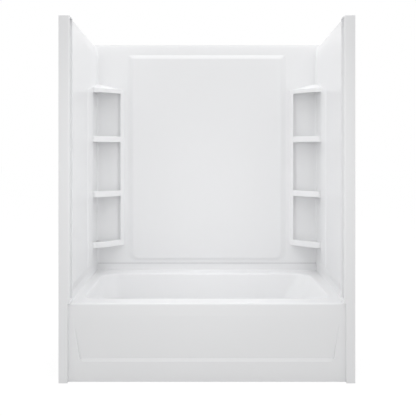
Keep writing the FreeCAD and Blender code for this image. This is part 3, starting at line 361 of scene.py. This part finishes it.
@dataclass
class EndWalls:
    """The end walls: copies of their mouldings with a long groove beside each column's front corner.

    The groove goes from the column's inner face in to its floor. A shell round it, which begins just
    under the face, closes it against the hollow of the column.
    """

    skin: Skin
    face: float = 0.705
    under_face: float = 0.0003
    floor: float = 0.721
    shell: float = 0.003
    along: Span = (-0.3735, -0.3255)
    up: Span = (0.425, 1.880)
    clear: float = 0.01

    def build(self) -> None:
        """Make both copies and let them stand for their nodes."""
        for word, side in SIDES:
            self.wall(f"{word}_end_wall_panel", side)

    def wall(self, node: str, side: float) -> None:
        """One end wall with its groove.

        Args:
            node: the frame's node.
            side: -1 for the left, 1 for the right.
        """
        body = new_piece(f"{node}_body", settled(f"{node}_body", self.skin.start(node)))
        liner = self.box(f"{node}_liner", side, (self.face + self.under_face, self.floor + self.shell),
                         self.shell)
        groove = self.box(f"{node}_groove", side, (self.face - self.clear, self.floor), 0.0)
        for helper, operation in ((liner, "UNION"), (groove, "DIFFERENCE")):
            step = body.modifiers.new(helper.name, "BOOLEAN")
            step.object = helper
            step.operation = operation
            step.solver = "EXACT"
        graph = bpy.context.evaluated_depsgraph_get()
        cut = bpy.data.meshes.new_from_object(body.evaluated_get(graph))
        for helper in (body, liner, groove):
            bpy.data.objects.remove(helper)
        work = bmesh.new()
        work.from_mesh(cut)
        bmesh.ops.remove_doubles(work, verts=work.verts, dist=self.skin.weld)
        self.skin.wear(node, work)

    def box(self, name: str, side: float, across: Span, grow: float) -> bpy.types.Object:
        """A block along the groove.

        Args:
            name: the block's name.
            side: -1 for the left, 1 for the right.
            across: its least and greatest distance from the middle.
            grow: how far it passes the groove at its front, back, foot and top.

        Returns:
            The block.
        """
        spans = [across] + [(low - grow, high + grow) for low, high in (self.along, self.up)]
        x, y, z = [(low + high) / 2 for low, high in spans]
        size = [high - low for low, high in spans]
        work = bmesh.new()
        bmesh.ops.create_cube(work, size=1.0, matrix=Matrix.Translation((side * x, y, z))
                              @ Matrix.Diagonal((*size, 1.0)))
        return new_piece(name, settled(name, work))


@dataclass
class Towers:
    """The shelf towers: copies of their mouldings whose roofs keep only a share of their rise."""

    skin: Skin
    eaves: float = 1.5925
    share: float = 0.62

    def build(self) -> None:
        """Make both copies and let them stand for their nodes."""
        for word, _ in SIDES:
            node = f"{word}_shelf_tower"
            work = self.skin.start(node)
            for vertex in work.verts:
                vertex.co.z = min(vertex.co.z, self.eaves + self.share * (vertex.co.z - self.eaves))
            self.skin.wear(node, work)


@dataclass
class FrameParts:
    """All other nodes as the frame holds them: the bath and the hidden set."""

    dresser: Dresser

    def build(self) -> None:
        """Put each node's own finish on it, apart from those that a skin stands for."""
        for row in frame["record"]["subparts"]:
            node = row["node"]
            if node.endswith(SKINNED):
                continue
            self.dresser.dress(frame["nodes"][node], Slot(row["material_slot"]))
            LOG.info("node %s: %s", node, row["material_slot"])


@dataclass
class ApronBeads:
    """The two narrow sealant beads that close the joints between the apron and the columns' legs."""

    dresser: Dresser
    inner: float = 0.7139
    outer: float = 0.7161
    front: float = -0.3642
    back: float = -0.352
    foot: float = 0.0005
    top: float = 0.400
    crown: float = 0.0010
    body: str = "bath"

    def build(self) -> None:
        """Make both beads."""
        for word, side in SIDES:
            self.bead(f"{word}_apron_bead", side)

    def bead(self, name: str, side: float) -> None:
        """One upright bead with a crowned front.

        Args:
            name: the piece's name.
            side: -1 for the left, 1 for the right.
        """
        middle = (self.inner + self.outer) / 2
        plan = ((self.inner, self.front), (middle, self.front - self.crown),
                (self.outer, self.front), (self.outer, self.back), (self.inner, self.back))
        count = len(plan)
        corners = [(side * x, y, z) for z in (self.foot, self.top) for x, y in plan]
        faces = [tuple(range(count)), tuple(range(count, 2 * count))]
        faces += [(k, (k + 1) % count, (k + 1) % count + count, k + count) for k in range(count)]
        work = bmesh.new()
        points = [work.verts.new(corner) for corner in corners]
        for face in faces:
            work.faces.new([points[k] for k in face])
        bmesh.ops.recalc_face_normals(work, faces=work.faces)
        piece = new_piece(name, settled(name, work))
        self.dresser.dress(piece, Slot.WHITE)
        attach(piece, self.body)
        LOG.info("bead %s: %d faces", name, len(piece.data.polygons))


class PatternTree:
    """A geometry node tree with named inputs, and the plain mesh that it makes."""

    def __init__(self, name: str) -> None:
        """Start a tree whose output is one mesh.

        Args:
            name: the tree's name.
        """
        self.tree = bpy.data.node_groups.new(name, "GeometryNodeTree")
        self.tree.interface.new_socket("Geometry", in_out="OUTPUT", socket_type="NodeSocketGeometry")
        self.entry = self.tree.nodes.new("NodeGroupInput")
        self.exit = self.tree.nodes.new("NodeGroupOutput")
        self.values: dict[str, object] = {}

    def size(self, name: str, kind: str, value: object) -> bpy.types.NodeSocket:
        """Add a named input.

        Args:
            name: the input's name.
            kind: Float, Int, Vector or Material.
            value: what the part gives it.

        Returns:
            The input's socket inside the tree.
        """
        item = self.tree.interface.new_socket(name, in_out="INPUT", socket_type=f"NodeSocket{kind}")
        self.values[item.identifier] = value
        return next(socket for socket in self.entry.outputs if socket.identifier == item.identifier)

    def step(self, kind: str, links: dict[str | int, bpy.types.NodeSocket | float],
             **settings: object) -> bpy.types.Node:
        """Add a node and fill its inputs.

        Args:
            kind: the node's type name.
            links: sockets or plain numbers for its inputs, by name or number.
            settings: the node's own settings.

        Returns:
            The new node.
        """
        node = self.tree.nodes.new(kind)
        for key, value in settings.items():
            setattr(node, key, value)
        for key, value in links.items():
            if isinstance(value, bpy.types.NodeSocket):
                self.tree.links.new(value, node.inputs[key])
            else:
                node.inputs[key].default_value = value
        return node

    def sum(self, operation: str, *terms: bpy.types.NodeSocket | float) -> bpy.types.NodeSocket:
        """One step of arithmetic on sockets and numbers."""
        return self.step("ShaderNodeMath", dict(enumerate(terms)), operation=operation).outputs[0]

    def finish(self, shapes: bpy.types.NodeSocket, finish: bpy.types.NodeSocket) -> None:
        """End the tree: instances made real, one material on all."""
        real = self.step("GeometryNodeRealizeInstances", {"Geometry": shapes}).outputs[0]
        dressed = self.step("GeometryNodeSetMaterial", {"Geometry": real, "Material": finish}).outputs[0]
        self.tree.links.new(dressed, self.exit.inputs[0])

    def plain_piece(self, name: str) -> bpy.types.Object:
        """Run the tree and keep what it makes as a plain mesh.

        Args:
            name: the new piece's name.

        Returns:
            The new object, without the modifier.
        """
        piece = new_piece(name, bpy.data.meshes.new(f"{name}_seed"))
        pattern = piece.modifiers.new("pattern", "NODES")
        pattern.node_group = self.tree
        for identifier, value in self.values.items():
            pattern[identifier] = value
        graph = bpy.context.evaluated_depsgraph_get()
        mesh = bpy.data.meshes.new_from_object(piece.evaluated_get(graph))
        mesh.name = name
        piece.modifiers.remove(pattern)
        piece.data = mesh
        return piece


@dataclass
class BasinGrip:
    """The slip-resistant floor of the basin: low round dots in staggered rows.

    Each dot is a low cone from radius to crown, sunk a little into the floor.
    """

    dresser: Dresser
    pitch: float = 0.022
    columns: int = 38
    rows: int = 13
    radius: float = 0.0055
    crown: float = 0.0035
    rise: float = 0.0008
    sink: float = 0.0002
    sides: int = 12
    middle: tuple[float, float] = (-0.018, -0.005)
    floor: float = 0.105
    body: str = "bath"

    def build(self) -> None:
        """Make the dots as one piece."""
        tree = PatternTree("grip_rows")
        pitch = tree.size("Pitch", "Float", self.pitch)
        columns = tree.size("Columns", "Int", self.columns)
        rows = tree.size("Rows", "Int", self.rows)
        radius = tree.size("Dot Radius", "Float", self.radius)
        crown = tree.size("Dot Crown", "Float", self.crown)
        rise = tree.size("Dot Rise", "Float", self.rise)
        place = tree.size("Place", "Vector", (*self.middle, self.floor - self.sink))
        finish = tree.size("Finish", "Material", self.dresser.materials[Slot.WHITE])
        length = tree.sum("MULTIPLY", pitch, tree.sum("SUBTRACT", columns, 1.0))
        width = tree.sum("MULTIPLY", pitch, tree.sum("SUBTRACT", rows, 1.0))
        grid = tree.step("GeometryNodeMeshGrid", {"Size X": length, "Size Y": width,
                                                  "Vertices X": columns, "Vertices Y": rows})
        position = tree.step("GeometryNodeInputPosition", {}).outputs[0]
        spot = tree.step("ShaderNodeSeparateXYZ", {0: position})
        from_edge = tree.sum("ADD", spot.outputs["Y"], tree.sum("MULTIPLY", width, 0.5))
        row = tree.sum("ROUND", tree.sum("DIVIDE", from_edge, pitch))
        half_pitch = tree.sum("MULTIPLY", pitch, 0.5)
        shift = tree.sum("MULTIPLY", tree.sum("MODULO", row, 2.0), half_pitch)
        offset = tree.step("ShaderNodeCombineXYZ", {"X": shift}).outputs[0]
        points = tree.step("GeometryNodeSetPosition",
                           {"Geometry": grid.outputs["Mesh"], "Offset": offset})
        dot = tree.step("GeometryNodeMeshCone", {"Vertices": self.sides, "Radius Top": crown,
                                                 "Radius Bottom": radius, "Depth": rise})
        dots = tree.step("GeometryNodeInstanceOnPoints", {"Points": points.outputs[0],
                                                          "Instance": dot.outputs["Mesh"]})
        moved = tree.step("GeometryNodeTransform",
                          {"Geometry": dots.outputs[0], "Translation": place})
        tree.finish(moved.outputs[0], finish)
        piece = tree.plain_piece("basin_grip_dots")
        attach(piece, self.body)
        LOG.info("basin grip: %d faces", len(piece.data.polygons))


@dataclass(frozen=True)
class Lamp:
    """A rectangular lamp that mirror rays don't meet.

    It has a middle, the point it faces, its size in metres, its power in watts and its spread.
    """

    name: str
    place: Place
    aim: Place
    width: float
    height: float
    power: float
    spread_degrees: float = 180.0

    def hang(self) -> None:
        """Put the lamp into the scene."""
        light = bpy.data.lights.new(self.name, "AREA")
        light.shape = "RECTANGLE"
        light.size, light.size_y = self.width, self.height
        light.energy = self.power
        light.spread = math.radians(self.spread_degrees)
        piece = bpy.data.objects.new(self.name, light)
        piece.visible_glossy = False
        piece.location = self.place
        way = Vector(self.aim) - Vector(self.place)
        piece.rotation_euler = way.to_track_quat("-Z", "Y").to_euler()
        bpy.context.scene.collection.objects.link(piece)


LAMPS = (
    Lamp("overhead_lamp", (0.0, -0.1, 3.4), (0.0, 0.0, 1.0), width=4.6, height=1.9, power=37.0),
    Lamp("steep_lamp", (0.0, -1.9, 3.3), (0.0, 0.2, 0.45), width=1.2, height=0.5, power=0.47,
         spread_degrees=24.0),
    Lamp("left_lamp", (-1.7, -2.5, 1.5), (0.72, 0.1, 1.0), width=0.8, height=1.2, power=0.76,
         spread_degrees=34.0),
    Lamp("right_lamp", (1.7, -2.5, 1.5), (-0.72, 0.1, 1.0), width=0.8, height=1.2, power=0.76,
         spread_degrees=34.0),
)


@dataclass
class Studio:
    """The floor, the light and the camera.

    The camera's numbers are in the photograph's pixels. The floor lights the object as floor_grey and
    shows the camera a white glow with a share of shadow_grey, which carries the object's shadow.
    """

    picture_px: float = 416.0
    focal_px: float = 503.7
    horizon_px: float = 151.9
    middle_px: float = 206.9
    sensor_mm: float = 36.0
    eye: Place = (0.0, -2.964, 1.187)
    near: float = 0.05
    far: float = 100.0
    floor_half: float = 30.0
    floor_grey: Colour = (0.80, 0.80, 0.80)
    shadow_grey: Colour = (0.95, 0.95, 0.95)
    glow: float = 1.08
    glow_share: float = 0.8
    seen_light: float = 1.0
    room_light: float = 0.71
    lamps: tuple[Lamp, ...] = LAMPS

    def build(self) -> None:
        """Make all of it."""
        self.floor()
        self.world()
        for lamp in self.lamps:
            lamp.hang()
        self.camera()

    def floor(self) -> None:
        """A pale floor that the camera sees as white, with the object's own soft shadow."""
        half = self.floor_half
        mesh = bpy.data.meshes.new("floor")
        corners = [(-half, -half, 0), (half, -half, 0), (half, half, 0), (-half, half, 0)]
        mesh.from_pydata(corners, [], [(0, 1, 2, 3)])
        piece = new_piece("floor", mesh)
        board = NodeBoard(bpy.data.materials.new("studio_floor"))
        lit = board.add("ShaderNodeBsdfDiffuse", {"Color": (*self.floor_grey, 1.0)})
        shadow = board.add("ShaderNodeBsdfDiffuse", {"Color": (*self.shadow_grey, 1.0)})
        glow = board.add("ShaderNodeEmission", {"Color": WHITE_LIGHT, "Strength": self.glow})
        seen = board.add("ShaderNodeMixShader", {"Fac": self.glow_share})
        whole = board.add("ShaderNodeMixShader")
        board.join(shadow.outputs[0], seen.inputs[1])
        board.join(glow.outputs[0], seen.inputs[2])
        board.join(self.direct_ray(board), whole.inputs["Fac"])
        board.join(lit.outputs[0], whole.inputs[1])
        board.join(seen.outputs[0], whole.inputs[2])
        board.join(whole.outputs[0], board.output.inputs["Surface"])
        mesh.materials.append(board.block)

    @staticmethod
    def direct_ray(board: NodeBoard) -> bpy.types.NodeSocket:
        """One where a ray comes from the camera, a mirror or glass, else nought."""
        path = board.add("ShaderNodeLightPath")
        first = board.add("ShaderNodeMath", operation="MAXIMUM")
        board.join(path.outputs["Is Camera Ray"], first.inputs[0])
        board.join(path.outputs["Is Glossy Ray"], first.inputs[1])
        second = board.add("ShaderNodeMath", operation="MAXIMUM")
        board.join(first.outputs[0], second.inputs[0])
        board.join(path.outputs["Is Transmission Ray"], second.inputs[1])
        return second.outputs[0]

    def world(self) -> None:
        """Even light from all round, weaker than the white that the camera and mirrors see."""
        world = bpy.data.worlds.new("studio")
        bpy.context.scene.world = world
        board = NodeBoard(world, "World")
        strength = board.add("ShaderNodeMapRange",
                             {"To Min": self.room_light, "To Max": self.seen_light})
        background = board.add("ShaderNodeBackground", {"Color": WHITE_LIGHT})
        board.join(self.direct_ray(board), strength.inputs["Value"])
        board.join(strength.outputs["Result"], background.inputs["Strength"])
        board.join(background.outputs["Background"], board.output.inputs["Surface"])

    def camera(self) -> None:
        """The photograph's own camera: level, at eye height, its view shifted down."""
        lens = bpy.data.cameras.new("camera")
        lens.sensor_width = self.sensor_mm
        lens.lens = self.focal_px / self.picture_px * self.sensor_mm
        lens.shift_y = (self.horizon_px - self.picture_px / 2) / self.picture_px
        lens.shift_x = (self.picture_px / 2 - self.middle_px) / self.picture_px
        lens.clip_start, lens.clip_end = self.near, self.far
        piece = bpy.data.objects.new("camera", lens)
        piece.location = self.eye
        piece.rotation_euler = (math.radians(90.0), 0.0, 0.0)
        bpy.context.scene.collection.objects.link(piece)
        bpy.context.scene.camera = piece


def main() -> None:
    """Dress the part, then make the studio."""
    logging.basicConfig(level=logging.INFO, format="%(message)s")
    bpy.context.scene.view_settings.view_transform = "Standard"
    dresser = Dresser({slot: finish.make() for slot, finish in FINISHES.items()})
    skin = Skin(dresser)
    BackWall(skin).build()
    EndWalls(skin).build()
    Towers(skin).build()
    ApronBeads(dresser).build()
    BasinGrip(dresser).build()
    FrameParts(dresser).build()
    Studio().build()


if __name__ == "__main__":
    main()
